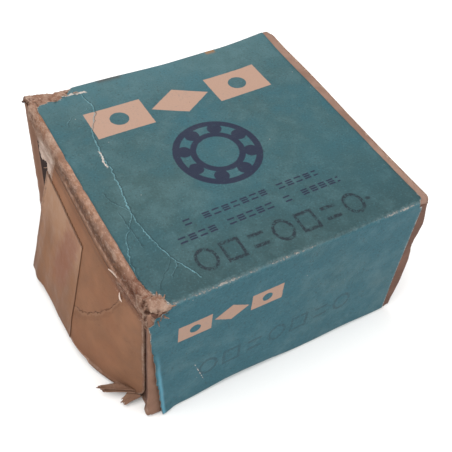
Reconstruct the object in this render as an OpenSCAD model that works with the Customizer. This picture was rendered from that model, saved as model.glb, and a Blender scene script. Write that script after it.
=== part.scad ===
// Boxed thrust bearing: a tuck-end board carton with a printed paper facing,
// holding a double-direction thrust ball bearing that lies flat on the carton's bottom wall.
// Millimetres. Origin at the centre of the carton's base, +X towards the sound end,
// +Y towards the back wall, +Z up.

/* [Bearing] */
// Bore of the centre washer
bore_d = 25; // [20:1:40]
// Height of the whole bearing
bearing_h = 29; // [24:0.5:40]
// Thickness of the centre washer
centre_t = 7; // [5:0.5:10]
// Radial step from the centre washer's bore to the housing washers' bore
bore_step = 3.5; // [1:0.5:6]
// Radial step from the housing washers' outside to the centre washer's outside
centre_step = 0.3; // [0.1:0.1:1]
// Ball diameter
ball_d = 7.938; // [6:0.001:10]
// Width of the flat land on each side of the balls
race_edge = 1.03; // [0.95:0.01:3]
// Depth of each raceway groove
groove_depth = 1.27; // [0.8:0.01:1.8]
// Groove radius over ball diameter
groove_ratio = 0.54; // [0.52:0.01:0.6]
// Edge chamfer of the washers
washer_chamfer = 0.6; // [0.2:0.1:1]

/* [Cages] */
// Sheet thickness of a cage
cage_t = 0.8; // [0.5:0.1:0.85]
// Height of a cage's channel
cage_h = 4.2; // [3.2:0.1:4.6]
// Least bar of sheet between two ball pockets
cage_bar = 1.9; // [1:0.1:4]

/* [Carton] */
// Thickness of the board
board_t = 0.6; // [0.4:0.05:1]
// Thickness of the printed paper facing
print_t = 0.12; // [0.08:0.01:0.25]
// Width of the bare margin beside each end crease
print_margin = 0.95; // [0.5:0.05:3]
// Free length left at each end of the bearing
end_play = 0.3; // [0.2:0.05:3]
// Free width left at each side of the bearing
side_play = 1.23; // [0.5:0.01:5]
// Free height left above the bearing
lid_play = 3.06; // [2.4:0.01:8]
// Width of the glued seam flap inside the back wall
glue_flap_w = 12; // [6:1:20]

/* [Flaps] */
// Gap from a closure panel's side edge to the outside of the carton
closure_inset = 3; // [1:0.1:6]
// Length of the tuck tongues
tongue_l = 8; // [5:0.5:10]
// Gap from a tongue's end to its closure panel's side edge
tongue_inset = 2.5; // [1:0.5:8]
// Length of the dust flaps
dust_l = 16; // [8:0.5:18]
// Rise per millimetre of the dust flap's edge beside the closure's crease
dust_taper = 1; // [0.9:0.05:1.1]
// Rise per millimetre of the dust flap's edge beside the tongue
dust_relief = 0.25; // [0.2:0.01:0.35]

/* [Worn end] */
// How far the loose closure panel stands out at its free edge
bulge = 7.2; // [2:0.1:9]
// Distance over which the bulge builds up from the front corner
bulge_run = 19; // [12:0.5:26]
// Width that is torn off the loose closure panel
torn_w = 11.65; // [4:0.05:16]
// Length of the stub that the tear left along the crease
stub_l = 4.5; // [2:0.5:8]
// Width of the adhesive tape
tape_w = 19; // [12:0.5:22]
// Thickness of the adhesive tape
tape_t = 0.1; // [0.05:0.01:0.2]
// Gap from the crease to the tape's cut end
tape_start = 7; // [1:0.1:10]

/* [Hidden] */

run_clear = 0.025;    // between a ball and its raceway
pocket_clear = 0.08;  // between a ball and its cage
fold_gap = 0.05;      // between two pieces of board at a crease
slide_gap = 0.1;      // between pieces of board that pass each other
tuck_gap = 0.28;      // between the tucked tongue and the wall above it
tongue_turn = 0.25;   // degrees the tucked tongue unfolds for each degree its closure opens
tape_lift = 0.03;     // between the tape and the board under it
cut_over = 1;         // how far a cutter runs past what it cuts
round_fn = 96;
ball_fn = 64;
stub_lap = 1;         // how far the torn stub runs into the panel
sheet_rows = 2;       // facets of a curved panel down its height
sheet_columns = 24;   // facets of a curved panel along its width

// Bearing sizes that follow from the ones above
housing_bore_d = bore_d + 2 * bore_step;
race_w = ball_d + 2 * race_edge;
outer_d = housing_bore_d + 2 * race_w;
pitch_r = (outer_d - race_w) / 2;
ball_r = ball_d / 2;
washer_gap = ball_d - 2 * groove_depth;
housing_t = (bearing_h - centre_t) / 2 - washer_gap;

// Carton sizes that follow from the bearing
wall_t = board_t + print_t;
carton_l = outer_d + 2 * (2 * board_t + end_play);
carton_w = outer_d + 2 * wall_t + board_t + 2 * side_play;
carton_h = bearing_h + 2 * wall_t + lid_play;
half_l = carton_l / 2;
half_w = carton_w / 2;
board_w = half_w - print_t;
inner_w = half_w - wall_t;
crease_x = half_l - board_t;                    // end of the walls that carry a closure
dust_crease_x = crease_x - fold_gap - board_t;  // end of the walls that carry the dust flaps
closure_w = half_w - closure_inset;
closure_l = carton_h - 2 * print_t - board_t - fold_gap;
bearing_z = wall_t + fold_gap;
lower_ball_z = bearing_z + housing_t + washer_gap / 2;
upper_ball_z = bearing_z + bearing_h - housing_t - washer_gap / 2;
top_fold_z = carton_h - print_t;
dust_low = wall_t + slide_gap;
dust_h = carton_h - 2 * wall_t - 2 * slide_gap;
torn_y = closure_w - torn_w;
tongue_drop = tongue_l * tongue_l / (2 * closure_l) * (1 + 2 * tongue_turn);

board_colour = "tan";
print_colour = "cadetblue";
steel_colour = "silver";

function ball_count() = floor(180 / asin((ball_d + cage_bar) / (bore_d + 2 * bore_step + ball_d + 2 * race_edge)));

// A plate between two corners
module plate(low, high) {
    translate(low)
        cube(high - low);
}

// Carton sleeve: four walls, the glued seam flap and the printed facing of each wall

module top_wall() {
    color(board_colour)
        plate([-crease_x, -board_w, carton_h - wall_t], [half_l - fold_gap, board_w, top_fold_z]);
}

module bottom_wall() {
    color(board_colour)
        plate([-half_l + fold_gap, -board_w, print_t], [crease_x, board_w, wall_t]);
}

module side_wall(side) {
    color(board_colour)
        plate([-dust_crease_x, side > 0 ? inner_w : -board_w, wall_t],
              [dust_crease_x, side > 0 ? board_w : -inner_w, carton_h - wall_t]);
}

module glue_flap() {
    color(board_colour)
        plate([-dust_crease_x + closure_inset, inner_w - board_t, wall_t],
              [dust_crease_x - closure_inset, inner_w, wall_t + glue_flap_w]);
}

module level_ply(z) {
    color(print_colour)
        plate([-half_l + print_margin, -half_w, z], [half_l - print_margin, half_w, z + print_t]);
}

module upright_ply(side) {
    low_y = side > 0 ? board_w : -half_w;
    color(print_colour)
        plate([-dust_crease_x, low_y, print_t], [dust_crease_x, low_y + print_t, carton_h - print_t]);
}

// Worn end: the loose closure panel is a curved sheet that hangs from the top crease

function bulge_at(y) = bulge * sin(90 * min(1, (y + closure_w) / bulge_run));

function closure_point(y, down, out) =
    let (b = bulge_at(y))
    [-half_l - b * down + out, y, top_fold_z - down * sqrt(closure_l * closure_l - b * b)];

// A sheet on the loose closure, from its outside skin at `skin` to its inside at `skin + thick`
module closure_sheet(y0, y1, down0, down1, skin, thick) {
    nc = sheet_columns;
    nr = sheet_rows;
    layer = (nc + 1) * (nr + 1);
    points = [for (s = [0, 1], i = [0:nc], j = [0:nr])
        closure_point(y0 + (y1 - y0) * i / nc, down0 + (down1 - down0) * j / nr, skin + s * thick)];
    function at(s, i, j) = s * layer + i * (nr + 1) + j;
    skins = [for (i = [0:nc - 1], j = [0:nr - 1], f = [
        [at(0, i, j), at(0, i, j + 1), at(0, i + 1, j + 1)],
        [at(0, i, j), at(0, i + 1, j + 1), at(0, i + 1, j)],
        [at(1, i, j), at(1, i + 1, j), at(1, i + 1, j + 1)],
        [at(1, i, j), at(1, i + 1, j + 1), at(1, i, j + 1)]]) f];
    ends = [for (i = [0:nc - 1], f = [
        [at(0, i, 0), at(0, i + 1, 0), at(1, i + 1, 0), at(1, i, 0)],
        [at(0, i + 1, nr), at(0, i, nr), at(1, i, nr), at(1, i + 1, nr)]]) f];
    sides = [for (j = [0:nr - 1], f = [
        [at(0, 0, j + 1), at(0, 0, j), at(1, 0, j), at(1, 0, j + 1)],
        [at(0, nc, j), at(0, nc, j + 1), at(1, nc, j + 1), at(1, nc, j)]]) f];
    polyhedron(points, concat(skins, ends, sides), convexity = 4);
}

module left_closure_panel() {
    color(board_colour) {
        closure_sheet(-closure_w, torn_y, 0, 1, 0, board_t - fold_gap);
        closure_sheet(torn_y - stub_lap, closure_w, 0, stub_l / closure_l, 0, board_t - fold_gap);
    }
}

module sealing_tape() {
    color("burlywood")
        closure_sheet(torn_y - tape_w, torn_y, tape_start / closure_l, 1, -tape_lift - tape_t, tape_t);
}

// The loose tongue lies level, from the panel's free edge back to the carton's mouth
module left_tuck_tongue() {
    tongue_z = top_fold_z - sqrt(closure_l * closure_l - bulge * bulge);
    y0 = -closure_w + bulge_run * 0.65;
    y1 = torn_y - tongue_inset;
    steps = 12;
    mouth_x = -half_l - bulge + tongue_l;
    edge = [for (i = [0:steps]) let (y = y0 + (y1 - y0) * i / steps)
        [-half_l - bulge_at(y) + board_t + 2 * slide_gap, y]];
    color(board_colour)
        translate([0, 0, tongue_z])
            linear_extrude(board_t - fold_gap)
                polygon(concat(edge, [[mouth_x, y1 - tongue_inset], [mouth_x, y0 + tongue_inset]]));
}

// Sound end: the closure panel stands on the bottom crease and is tucked in under the top wall

module right_closure_panel() {
    corner = 2;
    color(board_colour)
        translate([crease_x + fold_gap, 0, 0])
            rotate([90, 0, 90])
                linear_extrude(board_t - fold_gap)
                    polygon([[-closure_w, print_t + fold_gap], [closure_w, print_t + fold_gap],
                             [closure_w, closure_l + print_t - corner],
                             [closure_w - corner, closure_l + print_t],
                             [-closure_w + corner, closure_l + print_t],
                             [-closure_w, closure_l + print_t - corner]]);
}

module right_tuck_tongue() {
    root_w = closure_w - tongue_inset;
    tip_w = root_w - tongue_l / 2;
    color(board_colour)
        translate([crease_x - board_t * tongue_drop / tongue_l, 0, carton_h - wall_t - tuck_gap])
            rotate([0, -asin(tongue_drop / tongue_l), 0])
                translate([0, 0, -board_t + fold_gap])
                    linear_extrude(board_t - fold_gap)
                        polygon([[0, -root_w], [0, root_w], [-tongue_l, tip_w], [-tongue_l, -tip_w]]);
}

// A dust flap seen from its end: tapered beside the closure's crease, relieved beside the tongue
module dust_outline() {
    polygon([[0, 0], [dust_l, dust_relief * dust_l], [dust_l, dust_h - dust_taper * dust_l], [0, dust_h]]);
}

// end -1 is the worn end and 1 the sound one; side -1 is the front and 1 the back
module dust_flap(end, side) {
    color(board_colour)
        translate([end > 0 ? dust_crease_x + fold_gap : -dust_crease_x - board_t,
                   side * board_w, end > 0 ? dust_low + dust_h : dust_low])
            mirror([0, side > 0 ? 1 : 0, 0])
                mirror([0, 0, end > 0 ? 1 : 0])
                    rotate([90, 0, 90])
                        linear_extrude(board_t - fold_gap)
                            dust_outline();
}

// Bearing

// A washer's section: inner and outer radius, bottom and top height, chamfered at its four corners
module washer_section(r0, r1, z0, z1) {
    c = washer_chamfer;
    polygon([[r0 + c, z0], [r1 - c, z0], [r1, z0 + c], [r1, z1 - c],
             [r1 - c, z1], [r0 + c, z1], [r0, z1 - c], [r0, z0 + c]]);
}

// The groove that the balls at height ball_z run in; up is 1 where it is cut into a face below them
module groove_section(ball_z, up) {
    r = groove_ratio * ball_d;
    translate([pitch_r, ball_z + up * (r - ball_r - run_clear)])
        circle(r, $fn = round_fn);
}

module housing_washer(base_z, ball_z, up) {
    color(steel_colour)
        rotate_extrude($fn = round_fn)
            difference() {
                washer_section(housing_bore_d / 2, outer_d / 2, base_z, base_z + housing_t);
                groove_section(ball_z, up);
            }
}

module lower_housing_washer() {
    housing_washer(bearing_z, lower_ball_z, 1);
}

module upper_housing_washer() {
    housing_washer(bearing_z + bearing_h - housing_t, upper_ball_z, -1);
}

module centre_washer() {
    base_z = bearing_z + (bearing_h - centre_t) / 2;
    color(steel_colour)
        rotate_extrude($fn = round_fn)
            difference() {
                washer_section(bore_d / 2, outer_d / 2 - centre_step, base_z, base_z + centre_t);
                groove_section(lower_ball_z, -1);
                groove_section(upper_ball_z, 1);
            }
}

// Angle of ball number i in its row
function ball_angle(i) = 360 * (i - 1) / ball_count();

// A pressed channel round the balls, its web on the side away from the housing washer
module cage(ball_z, up) {
    wide = ball_r + pocket_clear;
    web_z = cage_h / 2 - cage_t;
    hole_r = sqrt(ball_r * ball_r - web_z * web_z) + pocket_clear;
    color("goldenrod")
        translate([0, 0, ball_z])
            mirror([0, 0, up > 0 ? 0 : 1])
                difference() {
                    rotate_extrude($fn = round_fn)
                        difference() {
                            translate([pitch_r - wide - cage_t, -cage_h / 2])
                                square([2 * (wide + cage_t), cage_h]);
                            translate([pitch_r - wide, -cage_h / 2 - cut_over])
                                square([2 * wide, cage_h - cage_t + cut_over]);
                        }
                    for (i = [1:ball_count()])
                        rotate([0, 0, ball_angle(i)])
                            translate([pitch_r, 0, web_z - cut_over])
                                cylinder(r = hole_r, h = cage_t + 2 * cut_over, $fn = ball_fn);
                }
}

module ball(i, ball_z) {
    color("gainsboro")
        rotate([0, 0, ball_angle(i)])
            translate([pitch_r, 0, ball_z])
                sphere(ball_r, $fn = ball_fn);
}

top_wall();
side_wall(-1);  // front_wall
bottom_wall();
side_wall(1);  // back_wall
glue_flap();
level_ply(carton_h - print_t);  // top_print_ply
upright_ply(-1);  // front_print_ply
level_ply(0);  // bottom_print_ply
upright_ply(1);  // back_print_ply
left_closure_panel();
left_tuck_tongue();
dust_flap(-1, -1);  // left_front_dust_flap
dust_flap(-1, 1);  // left_back_dust_flap
sealing_tape();
right_closure_panel();
right_tuck_tongue();
dust_flap(1, -1);  // right_front_dust_flap
dust_flap(1, 1);  // right_back_dust_flap
lower_housing_washer();
centre_washer();
upper_housing_washer();
cage(lower_ball_z, 1);  // lower_cage
cage(upper_ball_z, -1);  // upper_cage
for (i = [1:ball_count()]) {
    ball(i, lower_ball_z);
    ball(i, upper_ball_z);
}
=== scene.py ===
# A worn bearing carton: board sleeve, printed facing, folded end flaps, film tape, and its steel bearing.
# Lengths are in millimetres until a mesh is finished, and are then turned to metres.
import math

import bmesh
import bpy
from mathutils import Matrix, Vector, noise
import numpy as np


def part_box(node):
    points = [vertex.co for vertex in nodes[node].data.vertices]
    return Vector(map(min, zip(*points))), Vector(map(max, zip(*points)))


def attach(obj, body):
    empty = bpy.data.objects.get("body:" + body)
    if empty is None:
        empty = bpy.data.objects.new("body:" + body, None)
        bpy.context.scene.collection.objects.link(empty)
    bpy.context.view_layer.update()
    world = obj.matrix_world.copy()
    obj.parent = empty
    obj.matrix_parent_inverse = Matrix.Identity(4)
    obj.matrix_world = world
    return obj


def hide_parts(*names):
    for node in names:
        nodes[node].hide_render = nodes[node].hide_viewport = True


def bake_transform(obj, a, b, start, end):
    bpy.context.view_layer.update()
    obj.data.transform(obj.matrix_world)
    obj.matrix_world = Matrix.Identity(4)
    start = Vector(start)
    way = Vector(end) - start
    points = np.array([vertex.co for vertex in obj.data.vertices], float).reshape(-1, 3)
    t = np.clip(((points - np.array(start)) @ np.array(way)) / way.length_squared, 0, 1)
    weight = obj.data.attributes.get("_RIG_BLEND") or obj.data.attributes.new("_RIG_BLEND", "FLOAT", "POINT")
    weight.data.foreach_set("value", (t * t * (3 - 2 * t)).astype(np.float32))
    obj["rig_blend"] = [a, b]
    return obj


mm = 0.001
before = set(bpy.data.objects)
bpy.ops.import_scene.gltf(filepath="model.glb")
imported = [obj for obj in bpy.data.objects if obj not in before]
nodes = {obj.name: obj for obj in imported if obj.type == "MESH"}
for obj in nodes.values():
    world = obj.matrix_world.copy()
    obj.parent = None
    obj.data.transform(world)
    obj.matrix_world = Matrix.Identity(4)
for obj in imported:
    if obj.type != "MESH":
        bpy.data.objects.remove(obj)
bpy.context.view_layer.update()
print("frame loaded:", len(nodes), "nodes")


def cadBox(node):
    low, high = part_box(node)
    return low / mm, high / mm


# Sizes that the rest is worked out from
size = {
    "halfWidth": cadBox("top_print_ply")[1].y,
    "height": cadBox("top_print_ply")[1].z,
    "halfLength": cadBox("right_closure_panel")[1].x,
    "printEnd": cadBox("top_print_ply")[1].x,
    "paper": 0.12,
    "board": 0.6,
    "closureSide": -cadBox("left_closure_panel")[0].y,
    "tornSide": cadBox("sealing_tape")[1].y,
    "bulge": -cadBox("left_closure_panel")[0].x - cadBox("right_closure_panel")[1].x,
    "tongueLow": cadBox("left_tuck_tongue")[0],
    "tongueHigh": cadBox("left_tuck_tongue")[1],
    "dustFace": -cadBox("left_front_dust_flap")[0].x,
}
size["boardTop"] = size["height"] - size["paper"]
size["boardSide"] = size["halfWidth"] - size["paper"]
size["closureLength"] = cadBox("right_closure_panel")[1].z - size["paper"]


def ease(low, high, value):
    share = min(1.0, max(0.0, (value - low) / (high - low)))
    return share * share * (3 - 2 * share)


def level(route, value):
    # reads a height off a route of (place, height) pairs
    for (start, low), (end, high) in zip(route, route[1:]):
        if value <= end:
            break
    return low + (high - low) * min(1, max(0, (value - start) / (end - start)))


def hump(value, half):
    return ease(half, 0, abs(value))


def rough(x, y=0.0, z=0.0, seed=0.0):
    return noise.noise(Vector((x + seed * 7.3, y + seed * 3.1, z - seed * 5.7)))


def pathLength(points):
    return sum(math.dist(start, end) for start, end in zip(points, points[1:]))


def alongPath(points, run):
    # the spot at a length along a path of straight stretches
    for start, end in zip(points, points[1:]):
        stretch = math.dist(start, end)
        if run <= stretch or end == points[-1]:
            share = run / stretch
            return [a + (b - a) * share for a, b in zip(start, end)]
        run -= stretch


class Wire:
    def __init__(self, finish, socket):
        self.finish = finish
        self.socket = socket

    def math(self, operation, first, second=None):
        inputs = {0: first} if second is None else {0: first, 1: second}
        return self.finish.node("Math", {"operation": operation}, inputs)

    def __add__(self, other):
        return self.math("ADD", self, other)

    __radd__ = __add__

    def __sub__(self, other):
        return self.math("SUBTRACT", self, other)

    def __rsub__(self, other):
        return self.math("SUBTRACT", other, self)

    def __mul__(self, other):
        return self.math("MULTIPLY", self, other)

    __rmul__ = __mul__

    def __truediv__(self, other):
        return self.math("DIVIDE", self, other)

    def __abs__(self):
        return self.math("ABSOLUTE", self)

    def __mod__(self, other):
        return self.math("FLOORED_MODULO", self, other)

    def root(self):
        return self.math("SQRT", self)

    def floor(self):
        return self.math("FLOOR", self)

    def most(self, other):
        return self.math("MAXIMUM", self, other)

    def least(self, other):
        return self.math("MINIMUM", self, other)


class Finish:
    def __init__(self, name):
        self.material = bpy.data.materials.new(name)
        self.material.use_nodes = True
        self.tree = self.material.node_tree
        self.tree.nodes.clear()
        place = self.node("TexCoord", output="Object")
        self.spot = self.node("VectorMath", {"operation": "SCALE"}, {0: place, "Scale": 1 / mm})
        self.x = self.node("SeparateXYZ", {}, {0: self.spot}, "X")
        self.y = self.node("SeparateXYZ", {}, {0: self.spot}, "Y")
        self.z = self.node("SeparateXYZ", {}, {0: self.spot}, "Z")

    def node(self, kind, settings=None, inputs=None, output=0):
        made = self.tree.nodes.new("ShaderNode" + kind)
        for key, value in (settings or {}).items():
            if key == "curve":
                line = made.mapping.curves[0]
                for place, height in value[1:-1]:
                    line.points.new(place, height)
                line.points[0].location = value[0]
                line.points[-1].location = value[-1]
                made.mapping.update()
            else:
                setattr(made, key, value)
        for key, value in (inputs or {}).items():
            if isinstance(value, Wire):
                self.tree.links.new(value.socket, made.inputs[key])
            else:
                made.inputs[key].default_value = value
        return None if output is None else Wire(self, made.outputs[output])

    def mark(self, name):
        # a number that the mesh carries at each of its points
        return self.node("Attribute", {"attribute_name": name}, output="Fac")

    def ramp(self, value, start, end, low=0.0, high=1.0):
        return self.node("MapRange", {"interpolation_type": "SMOOTHSTEP"},
                         {"Value": value, "From Min": start, "From Max": end, "To Min": low, "To Max": high})

    def inside(self, value, half, soft=0.08):
        return self.ramp(abs(value), half - soft, half + soft, 1.0, 0.0)

    def grain(self, scale, detail=3.0, roughness=0.55, stretch=(1, 1, 1), shift=0.0):
        where = self.node("VectorMath", {"operation": "MULTIPLY_ADD"},
                          {0: self.spot, 1: stretch, 2: (shift,) * 3})
        return self.node("TexNoise", {},
                         {"Vector": where, "Scale": scale, "Detail": detail, "Roughness": roughness})

    def follow(self, value, route, low, high):
        # a smooth line through (place, height) pairs, both between low and high
        span = high - low
        pairs = [((place - low) / span, (height - low) / span) for place, height in route]
        pairs = [(0.0, pairs[0][1]), *pairs, (1.0, pairs[-1][1])]
        return self.node("FloatCurve", {"curve": pairs}, {"Value": (value - low) / span}) * span + low

    def blend(self, share, first, second):
        ends = [(*c, 1.0) if isinstance(c, tuple) else c for c in (first, second)]
        return self.node("Mix", {"data_type": "RGBA"}, {0: share, 6: ends[0], 7: ends[1]}, 2)

    def shade(self, color, roughness, height=None, bumpDepth=0.1, **fixed):
        inputs = {"Base Color": color, "Roughness": roughness}
        inputs.update({key.replace("_", " "): value for key, value in fixed.items()})
        if height is not None:
            inputs["Normal"] = self.node("Bump", {}, {"Height": height, "Distance": bumpDepth * mm})
        shader = self.node("BsdfPrincipled", {}, inputs)
        self.node("OutputMaterial", {"is_active_output": True}, {0: shader}, None)
        return self.material


inks = {
    "tealBright": (0.022, 0.091, 0.117),
    "tealDull": (0.034, 0.074, 0.077),
    "tealShade": (0.020, 0.044, 0.047),
    "tealPale": (0.085, 0.19, 0.22),
    "bareStock": (0.34, 0.215, 0.16),
    "navy": (0.010, 0.013, 0.034),
    "stamp": (0.010, 0.016, 0.024),
    "crackHighlight": (0.13, 0.28, 0.32),
    "crackShadow": (0.008, 0.026, 0.032),
    "paperWhite": (0.52, 0.44, 0.39),
    "soot": (0.02, 0.022, 0.02),
}

# Routes of the lid's cracks, each as (distance back, distance right); noise gives them their jags
cracks = [
    {"route": [(-25.5, -17.5), (-19, -20), (-11, -21.5), (1, -20.5), (13, -19.5), (20, -16.5), (25, -17)],
     "width": 0.075, "strength": 0.8},
    {"route": [(-27, -26), (-24, -26.5), (-14, -25), (-8, -21.5)], "width": 0.055, "strength": 0.6},
    {"route": [(-8, -21.5), (-4.5, -23.5), (-2, -24)], "width": 0.04, "strength": 0.45},
    {"route": [(-25, -24.5), (-19.5, -20)], "width": 0.05, "strength": 0.1},
    {"route": [(-23.5, -21.5), (-21, -19.5), (-19.5, -20)], "width": 0.04, "strength": 0.35},
    {"route": [(16.5, -23), (19, -21.5), (20.5, -17.5)], "width": 0.055, "strength": 0.6},
    {"route": [(-16, -23), (-7, -23.5)], "width": 0.035, "strength": 0.25},
]


def printFinish():
    f = Finish("printedPaper")
    wobble = f.grain(1.6, 2.0) * 0.16 - 0.08
    x, y, z = f.x + wobble, f.y - wobble, f.z + wobble
    broad = f.grain(0.045, 3.0, 0.6)
    patchy = f.grain(0.22, 4.0, 0.65, shift=40)
    fibre = f.grain(2.6, 4.0, 0.7)
    fleck = f.grain(1.4, 2.0, 0.5, shift=9)
    side = size["halfWidth"]
    onTop = f.ramp(f.z, 31.2, 31.6) * f.ramp(abs(f.y), side - 0.1, side - 0.4)
    onFront = f.ramp(f.y, -side + 0.9, -side + 0.6)
    onBack = f.ramp(f.y, side - 0.9, side - 0.6)

    dullness = f.ramp(broad * 0.7 + patchy * 0.3 + onTop * 0.22, 0.46, 0.86)
    color = f.blend(dullness, inks["tealBright"], inks["tealDull"])
    # painted shade darkening the lid towards the front, and painted light paling it towards the back
    color = f.blend(f.ramp(f.y + patchy * 14, 4, -24) * onTop * 0.62, color, inks["tealShade"])
    color = f.blend(f.ramp(f.y, 12, 30) * onTop * 0.3, color, inks["tealPale"])
    color = f.blend(f.ramp(patchy + broad * 0.4, 0.62, 0.92, 0, 0.2), color, inks["tealPale"])
    color = f.blend(f.ramp(fibre, 0.46, 0.3, 0, 0.5), color, inks["soot"])
    color = f.blend(f.ramp(fibre, 0.54, 0.72, 0, 0.3), color, inks["tealPale"])

    # lid: bar mark, ball ring, rows of dashes, ink stamp
    lid = bareMark(f, x, y - 15.4 - x * 0.02) * onTop
    ring = ballRing(f, x + 0.7, y + 1.1) * onTop
    dashes = dashRow(f, x + 14.9, y + 13.9 - x * 0.018, 27.8, 3)
    dashes = dashes + dashRow(f, x + 17.4, y + 17.1 - x * 0.02, 33.2, 8)
    stampTop = stampRow(f, x + 17.2, y + 22.8 + x * 0.01, patchy) * onTop
    stopMark = f.inside(((x - 17.7) * (x - 17.7) * 0.5 + (y + 23) * (y + 23)).root(), 0.35, 0.15) * onTop

    # sides: a smaller bar mark and a fainter stamp
    frontMark = bareMark(f, (x + 12.4) * 1.87, (z - 24.3 - x * 0.01) * 1.87) * onFront
    backMark = bareMark(f, (12.4 - x) * 1.87, (z - 24.3) * 1.87) * onBack
    stampFront = stampRow(f, x + 18.6, z - 10.6 - x * 0.06, patchy) * onFront * 0.4

    bare = (lid + frontMark + backMark).least(1.0)
    rubbed = f.ramp(fibre + patchy * 0.4, 0.72, 0.98, 1.0, 0.7)
    color = f.blend(bare * rubbed, color, inks["bareStock"])
    inked = (ring + dashes * onTop).least(1.0) * f.ramp(fleck, 0.2, 0.4, 0.75, 0.95)
    color = f.blend(inked, color, inks["navy"])
    color = f.blend((stampTop * 0.95 + stopMark * 0.7 + stampFront).least(1.0), color, inks["stamp"])

    # cracks and folds, each crack with a painted highlight along it and a painted shadow beside it
    ridge = None
    for crack in cracks:
        line, shadowLine, body = crackLine(f, crack, onTop, patchy)
        color = f.blend(shadowLine * 0.6, color, inks["crackShadow"])
        color = f.blend(line * crack["strength"], color, inks["crackHighlight"])
        ridge = body if ridge is None else ridge + body
    flay = f.grain(0.9, 3.0, 0.7, shift=27) * 1.5 - 0.75
    sliver = f.inside(f.x + 20.6 - (f.y - 5.5) * 0.1 + flay, 0.15, 0.1)
    sliver = sliver * f.inside(f.y - 5.9, 2.2, 0.4) * onTop
    color = f.blend(sliver * 0.85, color, inks["paperWhite"])
    peel = f.inside(f.y - 25.6 + (f.x + 18) * 0.12 + flay, 0.2, 0.12) * f.inside(f.x + 18.2, 2.4, 0.3) * onTop
    color = f.blend(peel * 0.8, color, inks["paperWhite"])
    scratch = f.inside(f.x + 17.8 + (f.z - 8.5) * 0.32, 0.06, 0.06) * f.inside(f.z - 8.5, 3.6, 0.3) * onFront
    color = f.blend(scratch * f.ramp(fleck, 0.42, 0.6), color, inks["paperWhite"])

    # rubbing along the long edges and at tears, and a painted highlight on the curled end of the front
    outY = side - abs(f.y)
    outZ = (size["height"] - f.z).least(f.z)
    fromEdge = (outY * outY + outZ * outZ).root()
    rub = f.ramp(fromEdge + patchy * 1.6 + fleck * 1.2, 2.3, 1.5)
    color = f.blend(rub * f.ramp(fibre, 0.3, 0.6, 0.15, 0.45), color, (0.13, 0.19, 0.20))
    worn = f.ramp(fromEdge + fibre * 1.3 + patchy * 0.9, 1.42, 1.18)
    color = f.blend(worn * 0.5, color, inks["paperWhite"])
    # painted highlight along the curled ridge of the facing's front end
    curl = f.inside(f.x + 27.1 - (31 - f.z) * 0.062, 0.3, 0.3) * onFront * f.ramp(f.z, 24, 12)
    color = f.blend(curl * 0.75, color, (0.09, 0.27, 0.36))
    tearing = f.mark("wear")
    color = f.blend(f.ramp(tearing + fibre * 0.8, 0.75, 1.05) * 0.85, color, inks["paperWhite"])
    specks = f.ramp(f.node("TexVoronoi", {}, {"Vector": f.spot, "Scale": 0.45}), 0.05, 0.025)
    color = f.blend(specks * f.ramp(patchy, 0.5, 0.6) * 0.7, color, inks["paperWhite"])
    cells = f.node("TexVoronoi", {}, {"Vector": f.spot, "Scale": 0.61, "Randomness": 0.9})
    darkSpecks = f.ramp(cells, 0.07, 0.03)
    color = f.blend(darkSpecks * f.ramp(patchy, 0.52, 0.42) * 0.75, color, inks["soot"])
    smear = f.ramp(f.y, 26.2, 28.0) * f.inside(f.x + 10, 2.6, 0.8) * onTop * 0.85
    color = f.blend(smear, color, (0.05, 0.04, 0.035))
    rust = f.ramp(f.y, 26.4, 27.6) * f.inside(f.x - 13.3, 1.1, 0.3) * onTop * 0.85
    color = f.blend(rust, color, (0.25, 0.115, 0.035))
    height = fibre * 0.3 + patchy * 0.5 + ridge - worn * 0.4 + bare * 0.05 + tearing * 0.5
    return f.shade(color, f.ramp(patchy, 0.3, 0.8, 0.66, 0.54), height, 0.16, Specular_IOR_Level=0.22)


def bareMark(f, x, y):
    # two plates with a round hole and a lozenge between them, left unprinted
    plates = f.inside(abs(x) - 13.2, 5.9) * f.inside(y, 3.9)
    holes = f.inside(((abs(x) - 13.2) * (abs(x) - 13.2) + y * y).root(), 1.9)
    lozenge = f.inside(abs(x) / 6.3 + abs(y) / 3.9, 1.0, 0.03)
    return plates * (1 - holes) + lozenge


def ballRing(f, x, y):
    # two plain rings with eight balls between them
    count, pitch = 8, 6.15
    far = (x * x + y * y).root()
    rings = f.inside(far - 7.8, 0.66) + f.inside(far - 4.6, 0.6)
    turn = y.math("ARCTAN2", y, x) / (2 * math.pi / count)
    aside = (turn - turn.floor() - 0.5) * (2 * math.pi / count * pitch)
    ball = f.inside((aside * aside + (far - pitch) * (far - pitch)).root(), 1.4)
    return (rings + ball).least(1.0)


def dashRow(f, x, y, length, seed):
    # a row of dashes, one, two or three deep
    pitch = 1.9
    cell = (x / pitch).floor()
    chance = f.node("TexWhiteNoise", {"noise_dimensions": "1D"}, {"W": cell + seed})
    across = x - cell * pitch - pitch / 2
    pair = f.inside(abs(y) - 0.5, 0.17) * f.ramp(chance, 0.2, 0.22)
    single = f.inside(y, 0.17) * f.ramp(chance, 0.62, 0.6) * f.ramp(chance, 0.12, 0.14)
    return (pair + single).least(1.0) * f.inside(across, 0.68) * f.inside(x - length / 2, length / 2)


def stampRow(f, x, y, patchy):
    # seven hand-stamped inspection marks, ring, box and pair of bars by turns, broken by the ink
    pitch = 4.9
    cell = (x / pitch).floor()
    across = x - cell * pitch - pitch / 2
    kind = cell % 3.0
    ring = f.inside((across * across * 1.5 + y * y).root() - 2.1, 0.36, 0.16)
    box = f.inside((abs(across) * 1.2).most(abs(y)) - 1.9, 0.34, 0.16)
    bars = f.inside(abs(y) - 1.2, 0.36, 0.16) * f.inside(across, 1.5, 0.14)
    marks = ring * f.inside(kind, 0.5) + box * f.inside(kind - 1, 0.5) + bars * f.inside(kind - 2, 0.5)
    broken = f.ramp(f.grain(2.1, 3.0, 0.7, shift=3) + patchy * 0.3, 0.44, 0.72)
    return marks * broken * f.inside(x - 3.5 * pitch, 3.5 * pitch)


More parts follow.
